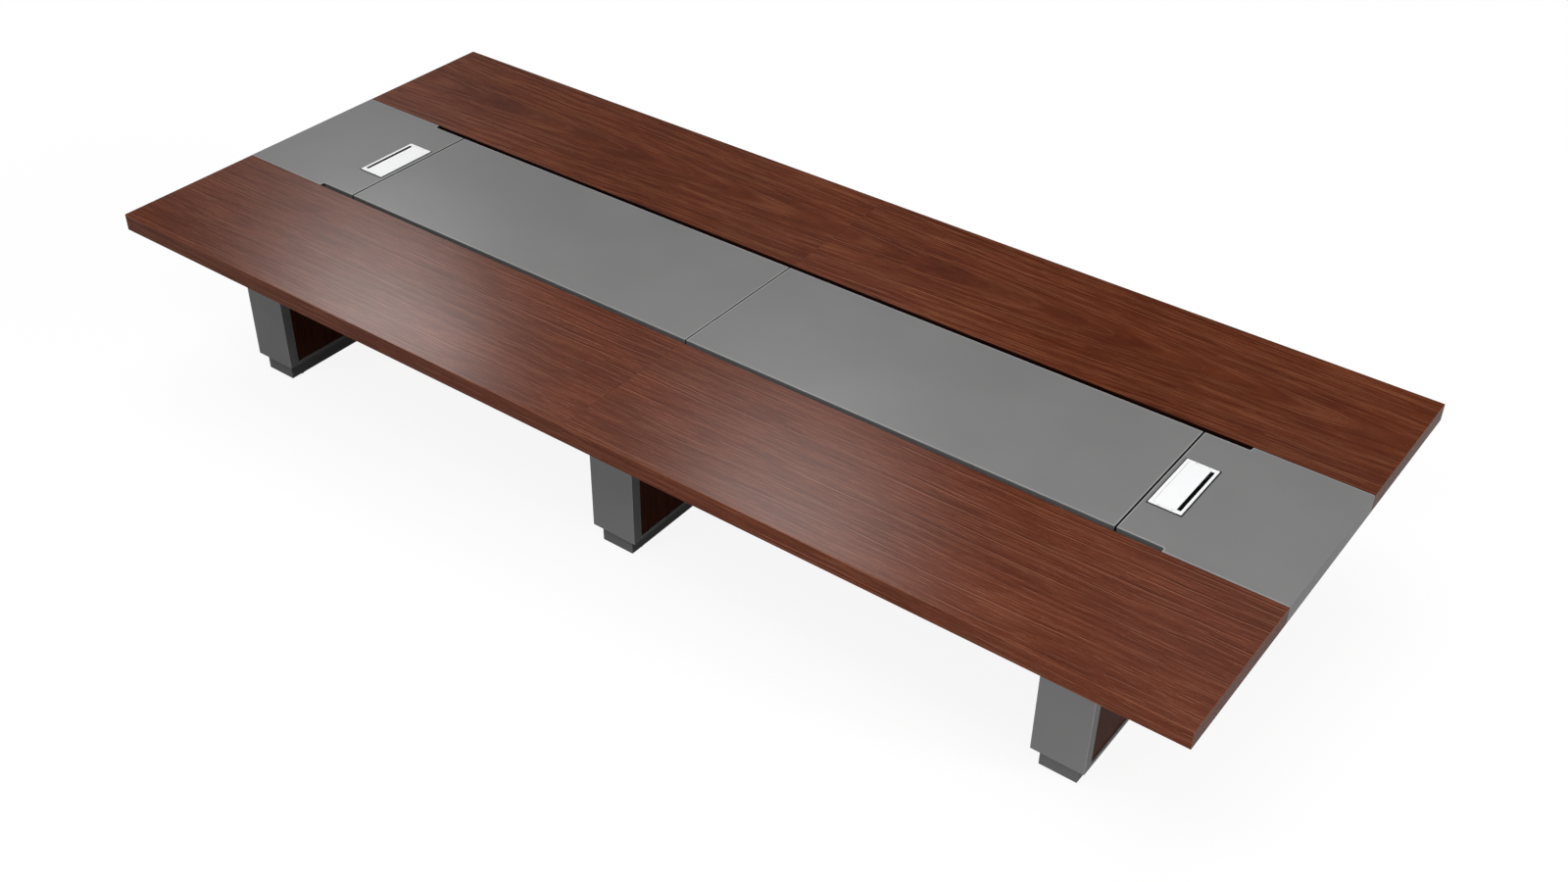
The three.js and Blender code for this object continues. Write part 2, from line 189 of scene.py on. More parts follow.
# %% Lay the floor
FLOOR_HALF = 60.0
FLOOR_GLOW, FLOOR_SEEN = 0.90, 0.13  # for the camera: its own white, and the part that can be shadowed
FLOOR_BOUNCE, FLOOR_MIRRORED = 0.25, 0.50  # for bounced light, and for reflections
floor_mesh = bpy.data.meshes.new("studio_floor")
corners = [(-1, -1), (1, -1), (1, 1), (-1, 1)]
floor_mesh.from_pydata([(x * FLOOR_HALF, y * FLOOR_HALF, 0.0) for x, y in corners], [], [(0, 1, 2, 3)])
floor = put_in_scene("studio_floor", floor_mesh)

floor_paint = bpy.data.materials.new("studio_floor_paint")
floor_paint.use_nodes = True
net = floor_paint.node_tree
net.nodes.clear()
ray = add_node(net, "ShaderNodeLightPath").outputs


def plain_diffuse(tree, shade):
    """A matt surface of one grey."""
    return from_node(tree, "ShaderNodeBsdfDiffuse", {"Color": (shade, shade, shade, 1)})


def choose(tree, factor, first, second):
    """One shader or the other."""
    return from_node(tree, "ShaderNodeMixShader", {0: factor, 1: first, 2: second})


white = {"Color": (1, 1, 1, 1), "Strength": FLOOR_GLOW}
lit_white = from_node(net, "ShaderNodeEmission", white)
to_camera = from_node(net, "ShaderNodeAddShader", {0: plain_diffuse(net, FLOOR_SEEN), 1: lit_white})
bounced, reflected = plain_diffuse(net, FLOOR_BOUNCE), plain_diffuse(net, FLOOR_MIRRORED)
to_rest = choose(net, ray["Is Glossy Ray"], bounced, reflected)
upper = choose(net, ray["Is Camera Ray"], to_rest, to_camera)
clear = from_node(net, "ShaderNodeBsdfTransparent")
below = add_node(net, "ShaderNodeNewGeometry").outputs["Backfacing"]
add_node(net, "ShaderNodeOutputMaterial", {"Surface": choose(net, below, upper, clear)})
floor_mesh.materials.append(floor_paint)
floor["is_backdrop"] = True
print("floor", 2 * FLOOR_HALF, "m square")

# %% [markdown]
# ## The lamps
# Even light and a highlight are two different jobs. Three very wide, soft suns give the even light: one
# overhead, one low from the front left for the fronts of the legs, one low from the right for the table's
# end. A long strip lifts the near side and a small one the right leg. All of these are kept out of
# reflections. Three softboxes behind the table do the other job: the lacquer reflects two of them as the
# soft patches on the near top, and the third as a faint gleam towards the right end.

# %% Hang the lamps
SUNS = {  # name: (direction the light comes from, strength, width in degrees)
    "sun_overhead": ((-0.30, 0.22, 1.00), 1.35, 50),
    "sun_front_left": ((-0.40, -0.90, 0.12), 1.08, 26),
    "sun_right_low": ((1.00, 0.27, 0.33), 1.36, 18),
}
SOFTBOXES = {  # name: (place, point aimed at, width, watts)
    "softbox_left": ((-7.91, 4.46, 6.75), (-1.10, -1.02, 0.75), 1.95, 130),
    "softbox_right": ((-3.01, 4.47, 6.75), (0.86, -1.00, 0.75), 1.95, 116),
    "softbox_end": ((0.92, 5.59, 6.76), (2.60, -0.75, 0.75), 3.20, 23),
}
STRIPS = {  # name: (place, point aimed at, length and height, watts)
    "strip_near_side": ((1.4, -2.6, 4.2), (1.0, -0.6, 0.75), (6.0, 1.2), 95),
    "strip_right_leg": ((2.9, -3.4, 0.45), (2.0, -0.8, 0.35), (0.9, 0.5), 23),
}


def hang(name, kind, facing, **settings):
    """A lamp that shines along the direction facing and never shows itself to the camera."""
    data = bpy.data.lights.new(name, kind)
    for key, value in settings.items():
        setattr(data, key, value)
    lamp = put_in_scene(name, data)
    lamp.rotation_euler = Vector(facing).to_track_quat("-Z", "Y").to_euler()
    lamp.visible_camera = False
    return lamp


for name, (source, strength, width) in SUNS.items():
    sun = hang(name, "SUN", -Vector(source), energy=strength, angle=math.radians(width))
    sun.visible_glossy = False
for name, (place, target, width, watts) in SOFTBOXES.items():
    lamp = hang(name, "AREA", Vector(target) - Vector(place), energy=watts, size=width, shape="DISK")
    lamp.location = place
    lamp.visible_diffuse = False
for name, (place, target, (length, height), watts) in STRIPS.items():
    strip = hang(name, "AREA", Vector(target) - Vector(place), energy=watts,
                 shape="RECTANGLE", size=length, size_y=height)
    strip.location = place
    strip.visible_glossy = False
print(len(SUNS), "suns,", len(SOFTBOXES), "softboxes and", len(STRIPS), "strips")

# %% [markdown]
# ## Groups that several finishes share
# The same things happen to many surfaces: hands and cloths leave faint smears, edges get rubbed pale. On the
# laminate the pale edge is a painted highlight more than wear.
# Each effect is built once as a node group with named inputs, and every finish then uses it with values
# of its own. A group only hands out colours and values; the shader itself stays in the material.


# %% A helper that opens a new group
def open_group(name, inputs, outputs):
    """A shader group with named float, vector or colour sockets, and its two ends."""
    group = bpy.data.node_groups.new(name, "ShaderNodeTree")
    for label, kind, value in inputs:
        socket = group.interface.new_socket(label, in_out="INPUT", socket_type="NodeSocket" + kind)
        socket.default_value = value
    for label, kind in outputs:
        group.interface.new_socket(label, in_out="OUTPUT", socket_type="NodeSocket" + kind)
    return group, group.nodes.new("NodeGroupInput").outputs, group.nodes.new("NodeGroupOutput").inputs


def noise(tree, place, detail=2.0, rough=0.5, scale=1.0):
    """A cloudy pattern between 0 and 1."""
    inputs = {"Vector": place, "Scale": scale, "Detail": detail, "Roughness": rough}
    return from_node(tree, "ShaderNodeTexNoise", inputs)


def stretched(tree, along, across, depth, pull, pinch):
    """A point whose first two parts are scaled, so that a cloudy pattern turns into streaks."""
    first, second = sums(tree, "MULTIPLY", along, pull), sums(tree, "MULTIPLY", across, pinch)
    return from_node(tree, "ShaderNodeCombineXYZ", {0: first, 1: second, 2: depth})


print("group helpers ready")

# %% [markdown]
# ### Crown-cut veneer
# A leaf of veneer sliced flat off a log shows tall nested arches in its middle, because the knife cuts
# the growth rings at a glancing angle, and straight lines near its edges, where it cuts them squarely.
# That follows a rule. A ring is a circle about the log's heart, so its number depends on the distance
# `sqrt(across² + depth²)`, and because the log tapers it also grows slowly along the leaf. Once every point
# knows its distance from the heart, a line of the figure is one chosen distance. Each half of a top is one
# leaf, and the next leaf from the same log looks almost the same, so the pattern repeats with a small change.

# %% Build the veneer group: measure every point from the log's heart
VENEER_INPUTS = {
    "Along": 0.0, "Across": 0.0, "Leaf Length": 2.5, "Heart Line": 0.0, "Heart Depth": 0.14, "Taper": 0.03,
    "Line Spacing": 0.045, "Line Strength": 0.55, "Fleck Strength": 0.34, "Streak Strength": 0.9, "Tree": 0.0,
}
veneer, given, result = open_group(
    "crown_cut_veneer",
    [(label, "Float", value) for label, value in VENEER_INPUTS.items()],
    [(label, "Float") for label in ("Figure", "Tone", "Pores", "Joint", "Height")],
)
NEXT_LEAF = 0.05  # how far the pattern moves on from one leaf to the next
FLATTEST = 0.02  # the least slope that a ring is given
WANDERS = (  # pull along the grain, pinch across it, patch of noise, swing in metres
    (0.8, 2.2, 0.0, 0.050),
    (3.5, 9.0, 2.0, 0.014),
    (9.0, 30.0, 3.0, 0.0045),
)


def reckon(operation, *values):
    """One step of arithmetic in this group."""
    return sums(veneer, operation, *values)


leaf = reckon("FLOOR", reckon("DIVIDE", given["Along"], given["Leaf Length"]))
along = reckon("SUBTRACT", given["Along"], reckon("MULTIPLY", leaf, given["Leaf Length"]))
across = given["Across"]
depth = reckon("MULTIPLY_ADD", leaf, NEXT_LEAF, given["Tree"])


def streaked(pull, pinch, shift, detail=2.0, rough=0.5, over=None):
    """Noise pulled out along the grain; shift picks another patch of it."""
    layer = reckon("ADD", depth, shift)
    return noise(veneer, stretched(veneer, along, over or across, layer, pull, pinch), detail, rough)


def centred(value):
    """Moves a 0..1 pattern to -0.5..0.5."""
    return reckon("SUBTRACT", value, 0.5)


for pull, pinch, shift, swing in WANDERS:
    across = reckon("MULTIPLY_ADD", centred(streaked(pull, pinch, shift)), swing, across)
off_heart = reckon("SUBTRACT", across, given["Heart Line"])
square = reckon("MULTIPLY_ADD", off_heart, off_heart, reckon("POWER", given["Heart Depth"], 2.0))
from_heart = reckon("SQRT", square)
slope = reckon("DIVIDE", off_heart, from_heart)
taper_square = reckon("MULTIPLY_ADD", given["Taper"], given["Taper"], FLATTEST ** 2)
steep = reckon("SQRT", reckon("MULTIPLY_ADD", slope, slope, taper_square))
radius = reckon("MULTIPLY_ADD", given["Taper"], along, from_heart)
print("every point measured from the log's heart")

# %% [markdown]
# The ground of the veneer is an almost even brown. What the eye sees on it are thin lines, a pale one with a
# dark one beside it, that start and stop along the grain: long ones from the rings, and shorter ones and
# flecks between. So the distance from the heart is cut into rows. Each row holds one line, at a place of its
# own, and a noise that runs along the row says where the line is broken. Dividing by `steep` keeps a line
# thin where the ring is cut at a glancing angle. Fibres and pores are cloudy noise pulled out long.

# %% Draw the lines, the flecks and the fibres
DARK_SIDE = -0.8  # how dark the dark line is beside a pale one
ROW_APART, TREE_APART = 3.7, 17.0  # steps that give each row and each tree a chance of its own
BREAK_FADE = 0.10  # how softly a line breaks off
SHORT_SHARE = 0.8  # strength of the short lines next to the long ones
FIBRE_SHARE, FIBRE_HEIGHT = 0.4, 0.6  # of the fibres in the figure, and in the surface
FINE_PATCHES = 0.45  # share of the small tone patches against the large
PORE_STARTS, PORE_FULL = 0.60, 0.70
JOINT_CORE, JOINT_EDGE = 0.0004, 0.0010


def broken_lines(spacing, width, pull, shift, keep):
    """Rows of thin lines: +1 on a pale line, DARK_SIDE on the dark one beside it, 0 on the ground."""
    number = reckon("DIVIDE", radius, spacing)
    row = reckon("FLOOR", number)
    named = reckon("ADD", reckon("MULTIPLY_ADD", given["Tree"], TREE_APART, shift), row)
    chance = add_node(veneer, "ShaderNodeTexWhiteNoise", {"W": named}, noise_dimensions="1D").outputs["Value"]
    middle = reckon("MULTIPLY_ADD", chance, 0.5, 0.25)  # somewhere in the middle half of its row
    gap = reckon("MULTIPLY", reckon("SUBTRACT", reckon("FRACT", number), middle), spacing)
    gap = reckon("DIVIDE", gap, steep)
    pale, dark = (eased(veneer, reckon("ABSOLUTE", place), width * 0.25, width * 0.75, 1.0, 0.0)
                  for place in (gap, reckon("ADD", gap, width)))
    pair = reckon("MULTIPLY_ADD", dark, DARK_SIDE, pale)
    run = noise(veneer, stretched(veneer, along, row, reckon("ADD", depth, shift), pull, ROW_APART), 1.0)
    return reckon("MULTIPLY", pair, eased(veneer, run, keep, keep + BREAK_FADE))


long_lines = broken_lines(given["Line Spacing"], width=0.0042, pull=1.4, shift=4.0, keep=0.50)
short_lines = broken_lines(spacing=0.017, width=0.0030, pull=6.5, shift=40.0, keep=0.53)
flecks = broken_lines(spacing=0.0075, width=0.0018, pull=26.0, shift=80.0, keep=0.51)
streaks = streaked(2.6, 75.0, 12.0, 3.0, 0.6, over=radius)
fibres = streaked(14.0, 420.0, 15.0, 3.0, 0.6)
figure = reckon("MULTIPLY_ADD", centred(streaks), given["Streak Strength"], 0.5)
short_strength = reckon("MULTIPLY", given["Line Strength"], SHORT_SHARE)
for layer, amount in ((long_lines, given["Line Strength"]), (short_lines, short_strength),
                      (flecks, given["Fleck Strength"]), (centred(fibres), FIBRE_SHARE)):
    figure = reckon("MULTIPLY_ADD", layer, amount, figure)
patches = between(veneer, FINE_PATCHES, streaked(1.1, 5.0, 18.0, 3.0), streaked(6.0, 26.0, 19.0, 2.0))
pores = eased(veneer, streaked(90.0, 1300.0, 21.0, 1.0), PORE_STARTS, PORE_FULL)
to_end = reckon("MINIMUM", along, reckon("SUBTRACT", given["Leaf Length"], along))
joint = eased(veneer, to_end, JOINT_CORE, JOINT_EDGE, 1.0, 0.0)
relief = reckon("MULTIPLY_ADD", fibres, FIBRE_HEIGHT, streaks)
made = {"Figure": figure, "Tone": patches, "Pores": pores, "Joint": joint, "Height": relief}
for label, value in made.items():
    veneer.links.new(value, result[label])
print("veneer group:", len(veneer.nodes), "nodes")

# %% [markdown]
# ### Laminate, smears and pale edges
# Grey laminate is a printed paper under resin: seen close it is a fine two-tone speckle. Smears are
# large faint clouds that only change how sharply a surface reflects. The rounded edges of every board
# carry a face attribute called `arris`, and there the finish is a little paler, more in some places
# than in others: worn pale on wood and metal, and a painted highlight on the laminate.

# %% Build the other shared groups
WIPE_TURN, WIPE_SCALE = 0.5, (1.3, 4.5, 3.0)  # the slant and the pull of a wiping cloth
PALE_PATCHES, PALE_LEAST = 9.0, 0.60  # patches to a metre, and how pale the least paled place on an edge is
PALE_FROM, PALE_TO = 0.25, 0.7

speckle, given, result = open_group(
    "laminate_speckle",
    [("Place", "Vector", (0, 0, 0)), ("Grain Size", "Float", 0.0012), ("Cloud Size", "Float", 0.4)],
    [("Speckle", "Float"), ("Clouds", "Float")],
)
fine = sums(speckle, "DIVIDE", 1.0, given["Grain Size"])
wide = sums(speckle, "DIVIDE", 1.0, given["Cloud Size"])
speckle.links.new(noise(speckle, given["Place"], detail=2.0, rough=0.7, scale=fine), result["Speckle"])
speckle.links.new(noise(speckle, given["Place"], detail=3.0, scale=wide), result["Clouds"])

smears, given, result = open_group(
    "wiped_smears",
    [("Place", "Vector", (0, 0, 0)), ("Roughness", "Float", 0.4), ("Amount", "Float", 0.05)],
    [("Roughness", "Float")],
)
slanted = {"Vector": given["Place"], "Rotation": (0, 0, WIPE_TURN), "Scale": WIPE_SCALE}
cloth = from_node(smears, "ShaderNodeMapping", slanted)
cloud = sums(smears, "SUBTRACT", noise(smears, cloth, detail=1.0, rough=0.4), 0.5)
smeared = sums(smears, "MULTIPLY_ADD", cloud, given["Amount"], given["Roughness"])
smears.links.new(smeared, result["Roughness"])

arris_wear_and_highlight, given, result = open_group(
    "worn_and_highlit_arris",
    [("Colour", "Color", (0.5, 0.5, 0.5, 1)), ("Rubbed Colour", "Color", (0.8, 0.8, 0.8, 1)),
     ("Place", "Vector", (0, 0, 0)), ("Amount", "Float", 0.5)],
    [("Colour", "Color")],
)
edge = add_node(arris_wear_and_highlight, "ShaderNodeAttribute", attribute_name="arris").outputs["Fac"]
blotches = noise(arris_wear_and_highlight, given["Place"], detail=3.0, scale=PALE_PATCHES)
patchy = eased(arris_wear_and_highlight, blotches, PALE_FROM, PALE_TO, PALE_LEAST)
worn_and_highlit = sums(arris_wear_and_highlight, "MULTIPLY", sums(arris_wear_and_highlight, "MULTIPLY", edge, patchy), given["Amount"])
arris_wear_and_highlight.links.new(tint(arris_wear_and_highlight, worn_and_highlit, given["Colour"], given["Rubbed Colour"]), result["Colour"])
print("groups:", [g.name for g in (veneer, speckle, smears, arris_wear_and_highlight)])

# %% [markdown]
# ## The finishes
# Every finish starts the same way, with a Principled shader and the place on the object, and ends the same
# way: its edges are paled, worn on wood and metal and a painted highlight on the laminate, its shine is
# smeared and its surface is raised. A number that is the same all over, such as how strongly a lacquer
# reflects, is set on the shader's own socket, because a model that is exported keeps it there.


# %% Helpers that start and end a finish
def start_finish(name, specular, metallic=0.0):
    """A new material, its shader, and the place on the object."""
    material = bpy.data.materials.new(name)
    material.use_nodes = True
    tree = material.node_tree
    tree.nodes.clear()
    shader = add_node(tree, "ShaderNodeBsdfPrincipled")
    shader.inputs["Specular IOR Level"].default_value = specular
    shader.inputs["Metallic"].default_value = metallic
    add_node(tree, "ShaderNodeOutputMaterial", {"Surface": shader.outputs[0]})
    place = add_node(tree, "ShaderNodeTexCoord").outputs["Object"]
    return material, tree, shader.inputs, place


def use_group(tree, group, **inputs):
    """Places a group in a material; an underscore in a name stands for a space."""
    named = {key.replace("_", " "): value for key, value in inputs.items()}
    return add_node(tree, "ShaderNodeGroup", named, node_tree=group).outputs


def toned(colour, amount):
    """A colour made paler or darker by one factor."""
    return (*(c * amount for c in colour), 1)


def end_finish(finish, colour, worn_and_highlit_colour, wear_and_highlight, roughness, smear, bump):
    """Links colour, shine and surface to the shader; bump is a pattern, its strength and its height."""
    material, tree, shader, place = finish
    edged = use_group(tree, arris_wear_and_highlight, Colour=colour, Rubbed_Colour=worn_and_highlit_colour, Place=place, Amount=wear_and_highlight)
    wiped = use_group(tree, smears, Place=place, Roughness=roughness, Amount=smear)
    raised = from_node(tree, "ShaderNodeBump", dict(zip(("Height", "Strength", "Distance"), bump)))
    tree.links.new(edged["Colour"], shader["Base Color"])
    tree.links.new(wiped["Roughness"], shader["Roughness"])
    tree.links.new(raised, shader["Normal"])
    return material


print("finish helpers ready")

# %% [markdown]
# ### Red-brown veneer
# The tops and the panels in the legs are the same stained veneer under satin lacquer. Its figure runs
# through three browns: near-black red in the dark lines, the main red-brown, and a warmer, paler brown in
# the light ones. The far top comes from another log, and its browns are a little redder and less blue,
# which paints out part of the pale sheen it reflects. The leg panels are darker.
# The pattern follows a UV map called `grain`, measured in metres along and across the grain, so the same
# finish works on a top, on an end and on an upright panel.

# %% Make the veneer finishes
SATIN = 0.13  # how strongly a satin lacquer or laminate reflects
BROWN_STOPS = (0.12, 0.5, 0.92)  # where the three browns stand on the figure
TONE_FROM, TONE_TO, TONE_DARK, TONE_PALE = 0.34, 0.66, 0.85, 1.15
INK, PORE_INK, JOINT_INK = 0.6, 0.5, 0.6  # a shade of the darkest brown, and what pores and joints take of it
WORN_LIFT = (1.5, 1.6, 1.7)  # how much paler a rubbed edge is than the palest brown
SLOT_SHADE, NO_JOINT = 0.12, 9.0  # painted shade on the slot sides, as a share of the browns, and a leaf longer than any board


def veneered(name, browns, leaf_length=2.5, **figure):
    """Veneer in three browns, from the dark lines to the pale ones; figure sets the group's inputs."""
    finish = start_finish(name, specular=SATIN)
    tree = finish[1]
    grain = from_node(tree, "ShaderNodeUVMap", uv_map="grain")
    parts = add_node(tree, "ShaderNodeSeparateXYZ", {0: grain}).outputs
    sheet = use_group(tree, veneer, Along=parts["X"], Across=parts["Y"], Leaf_Length=leaf_length, **figure)
    ramp = add_node(tree, "ShaderNodeValToRGB", {0: sheet["Figure"]})
    stops = ramp.color_ramp.elements
    stops.new(BROWN_STOPS[1])
    for stop, spot, brown in zip(stops, BROWN_STOPS, browns):
        stop.position, stop.color = spot, (*brown, 1)
    shade = eased(tree, sheet["Tone"], TONE_FROM, TONE_TO, TONE_DARK, TONE_PALE)
    grey = from_node(tree, "ShaderNodeCombineColor", {0: shade, 1: shade, 2: shade})
    colour = tint(tree, 1.0, ramp.outputs[0], grey, "MULTIPLY")
    for mark, share in (("Pores", PORE_INK), ("Joint", JOINT_INK)):
        colour = tint(tree, sums(tree, "MULTIPLY", sheet[mark], share), colour, toned(browns[0], INK))
    worn_and_highlit = (*(c * lift for c, lift in zip(browns[2], WORN_LIFT)), 1)
    return end_finish(finish, colour, worn_and_highlit, wear_and_highlight=0.35, roughness=0.25, smear=0.05,
                      bump=(sheet["Height"], 0.12, 0.0004))


TOP_BROWNS = ((0.060, 0.0100, 0.0035), (0.111, 0.0262, 0.0102), (0.198, 0.0710, 0.0370))
# the far top's browns are a little redder and less blue, which paints out part of the pale sheen it reflects
FAR_BROWNS_SHEEN_TAKEN_OUT = ((0.062, 0.0096, 0.0028), (0.115, 0.0254, 0.0083), (0.205, 0.0690, 0.0300))
LEG_BROWNS = ((0.032, 0.0060, 0.0025), (0.060, 0.0145, 0.0065), (0.100, 0.0330, 0.0180))
finishes = {
    "wood_top_near": veneered("veneer_near_top", TOP_BROWNS, Heart_Line=-0.30, Heart_Depth=0.03, Tree=0.0,
                              Taper=0.012),
    "wood_top_far": veneered("veneer_far_top", FAR_BROWNS_SHEEN_TAKEN_OUT, Heart_Line=0.71, Tree=3.4, Taper=0.03,
                             Line_Strength=0.95, Streak_Strength=1.3),
    "pedestal_wood": veneered("veneer_leg_panel", LEG_BROWNS, NO_JOINT, Heart_Line=0.35, Tree=8.1),
}
# the slots' near-black veneer is painted shade: the tops' browns at a small share
SLOT_SHADE_BROWNS = tuple(tuple(c * SLOT_SHADE for c in brown) for brown in TOP_BROWNS)
finishes["slot_stain"] = veneered("painted_slot_shade", SLOT_SHADE_BROWNS, NO_JOINT, Tree=5.5)
print("veneers:", list(finishes))

# %% [markdown]
# ### Grey laminate
# One grey on the band and the legs, a darker one on the plinths. The speckle is only a few per cent, and
# the clouds less, but without them a large grey face looks like paper.

# %% Make the laminate finishes
SPECKLE_SPREAD, CLOUD_SPREAD = 0.07, 0.03
WHITE = (1.0, 1.0, 1.0)


def laminated(name, grey, paler, roughness):
    """Speckled laminate of one grey, with edges painted that many times paler as a highlight."""
    finish = start_finish(name, specular=SATIN)
    _, tree, _, place = finish
    layer = use_group(tree, speckle, Place=place)
    dots = eased(tree, layer["Speckle"], 0.25, 0.75)
    colour = tint(tree, dots, toned(grey, 1 - SPECKLE_SPREAD), toned(grey, 1 + SPECKLE_SPREAD))
    clouds = eased(tree, layer["Clouds"], 0.3, 0.7)
    veil = tint(tree, clouds, toned(WHITE, 1 - CLOUD_SPREAD), toned(WHITE, 1 + CLOUD_SPREAD))
    colour = tint(tree, 1.0, colour, veil, "MULTIPLY")
    return end_finish(finish, colour, toned(grey, paler), wear_and_highlight=0.85, roughness=roughness, smear=0.015,
                      bump=(layer["Speckle"], 0.10, 0.0002))


LAMINATES = {  # slot: (material, grey, how many times paler its edges are painted as a highlight, roughness)
    "grey_laminate": ("grey_laminate", (0.195, 0.195, 0.194), 2.3, 0.27),
    "plinth_grey": ("plinth_laminate", (0.135, 0.135, 0.136), 1.5, 0.50),
    # painted shade: near black on the panels' ends inside the seams
    "seam_edge": ("dark_seam_edge", (0.016, 0.016, 0.016), 1.0, 0.60),
    # painted light: a paler grey that brings the table's end faces up to the top's brightness
    "end_band": ("grey_end_band", (0.234, 0.234, 0.233), 1.0, 0.27),
}
for slot, values in LAMINATES.items():
    finishes[slot] = laminated(*values)
print("laminates made, finishes so far:", len(finishes))

# %% [markdown]
# ### Metal, nylon and plain wood
# The cable boxes are a pale satin metal, near white in this room, with a very fine grain from blasting.
# Troughs are dark powder coat with its orange-peel skin. Brushes, glides and the seals under the boxes are
# black nylon or rubber. Pins and screws are bright steel, handled, so their shine is slightly uneven. The
# bearers under the covers are sawn softwood, stained dark so that they do not show in the slots: the veneer
# group again, with dark browns.

# %% Make the small finishes
BARE_LIFT, BARE_LEAST = 1.25, 0.01  # a rubbed edge is this many times paler, and this much on top


def grained(name, colour, spread, roughness, specular, grain_size, bump, metallic):
    """A finish whose colour, shine and surface all follow one fine grain."""
    finish = start_finish(name, specular, metallic)
    _, tree, _, place = finish
    grain = use_group(tree, speckle, Place=place, Grain_Size=grain_size, Cloud_Size=0.15)
    dots = eased(tree, grain["Speckle"], 0.2, 0.8)
    low, high = toned(colour, 1 - spread), toned(colour, 1 + spread)
    bare = (*(min(1.0, c * BARE_LIFT + BARE_LEAST) for c in high[:3]), 1)
    return end_finish(finish, tint(tree, dots, low, high), bare, wear_and_highlight=0.5, roughness=roughness, smear=0.12,
                      bump=(grain["Speckle"], bump, grain_size * 0.2))


SMALL_FINISHES = {  # slot: (material, colour, spread, roughness, specular, grain size, bump, metallic)
    "wire_box_metal": ("satin_pale_metal", (0.93, 0.935, 0.94), 0.02, 0.40, 0.30, 0.0006, 0.10, 0.0),
    "trough_steel": ("dark_powder_coat", (0.032, 0.034, 0.036), 0.15, 0.48, 0.50, 0.0016, 0.35, 0.0),
    "brush_nylon": ("black_bristle", (0.006, 0.006, 0.006), 0.40, 0.75, 0.06, 0.0008, 0.10, 0.0),
    "glide_nylon": ("black_moulded_nylon", (0.012, 0.012, 0.012), 0.20, 0.60, 0.15, 0.0010, 0.20, 0.0),
    "pin_steel": ("bright_steel", (0.52, 0.52, 0.52), 0.06, 0.28, 0.50, 0.0004, 0.10, 1.0),
}
for slot, values in SMALL_FINISHES.items():
    finishes[slot] = grained(*values)
SAWN_BROWNS = ((0.030, 0.015, 0.008), (0.052, 0.028, 0.015), (0.085, 0.048, 0.027))
finishes["bearer_wood"] = veneered("sawn_softwood", SAWN_BROWNS, NO_JOINT, Heart_Line=0.10, Tree=15.2,
                                   Line_Spacing=0.022, Streak_Strength=0.5)
print("finishes:", sorted(finishes))

# %% [markdown]
# ## Boards with softened edges
# No board leaves a workshop with knife edges: a sanding block takes a millimetre or two off each, and that
# small round, called the arris, is what catches the light. The CAD boards have plain edges, so a copy of
# each is merged into whole faces, its sharp edges are bevelled, and the new faces are marked `arris`. Flat
# faces stay flat-shaded, or a board five metres long would seem to bulge. The same helper lays the `grain`
# map: the grain runs along one axis, and on a face that looks along that axis, along the first other one.

# %% A helper that softens a CAD board
SHARP = math.radians(30)
SAME_FACE = math.radians(0.5)  # triangles that turn less than this belong to one flat face
FLAT_ENOUGH = 0.9999
EDGING_HIGHLIGHT = 0.50  # a pale strip round a panel's top, a painted highlight, as a share of a fully paled edge


def lay_grain(shape, layer, axis):
    """UV in metres: first along the grain, then across it."""
    for face in shape.faces:
        facing = max(range(3), key=lambda k: abs(face.normal[k]))
        others = [k for k in range(3) if k != facing]
        along = axis if axis in others else others[0]
        across = others[1] if along == others[0] else others[0]
        for loop in face.loops:
            loop[layer].uv = (loop.vert.co[along], loop.vert.co[across])


def softened(node, arris, material, grain_axis=0, worn_and_highlit=1.0, highlight_strip=0.0):
    """A finished copy of a CAD part, in its place, riding where the CAD part rides."""
    source = frame["nodes"][node].data
    mesh = bpy.data.meshes.new(node + "_finished")
    mesh.from_pydata([v.co for v in source.vertices], [], [tuple(p.vertices) for p in source.polygons])
    shape = bmesh.new()
    shape.from_mesh(mesh)
    wear_and_highlight = shape.faces.layers.float.new("arris")
    grain = shape.loops.layers.uv.new("grain")
    bmesh.ops.remove_doubles(shape, verts=shape.verts, dist=1e-5)
    bmesh.ops.dissolve_limit(shape, angle_limit=SAME_FACE, verts=shape.verts, edges=shape.edges)
    edges = [e for e in shape.edges if e.is_manifold and e.calc_face_angle() > SHARP]
    rounded = bmesh.ops.bevel(shape, geom=edges, offset=arris, offset_type="OFFSET", segments=3,
                              profile=0.5, affect="EDGES", clamp_overlap=True)["faces"]
    shape.normal_update()
    # the rounded faces are paled: wear on wood and metal, a painted highlight on laminate
    for face in rounded:
        face[wear_and_highlight] = worn_and_highlit
    # a strip round the top face, painted pale as a highlight
    if highlight_strip:
        top = [face for face in shape.faces if face.normal.z > FLAT_ENOUGH and face not in rounded]
        strip = bmesh.ops.inset_region(shape, faces=top, thickness=highlight_strip, use_even_offset=True)["faces"]
        for face in strip:
            face[wear_and_highlight] = EDGING_HIGHLIGHT
    for face in shape.faces:
        face.smooth = max(abs(n) for n in face.normal) < FLAT_ENOUGH
    lay_grain(shape, grain, grain_axis)
    shape.to_mesh(mesh)
    shape.free()
    mesh.materials.append(material)
    piece = put_in_scene(node + "_finished", mesh)
    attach(piece, body_of[node])
    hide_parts(node)
    return piece


print("softening helper ready")

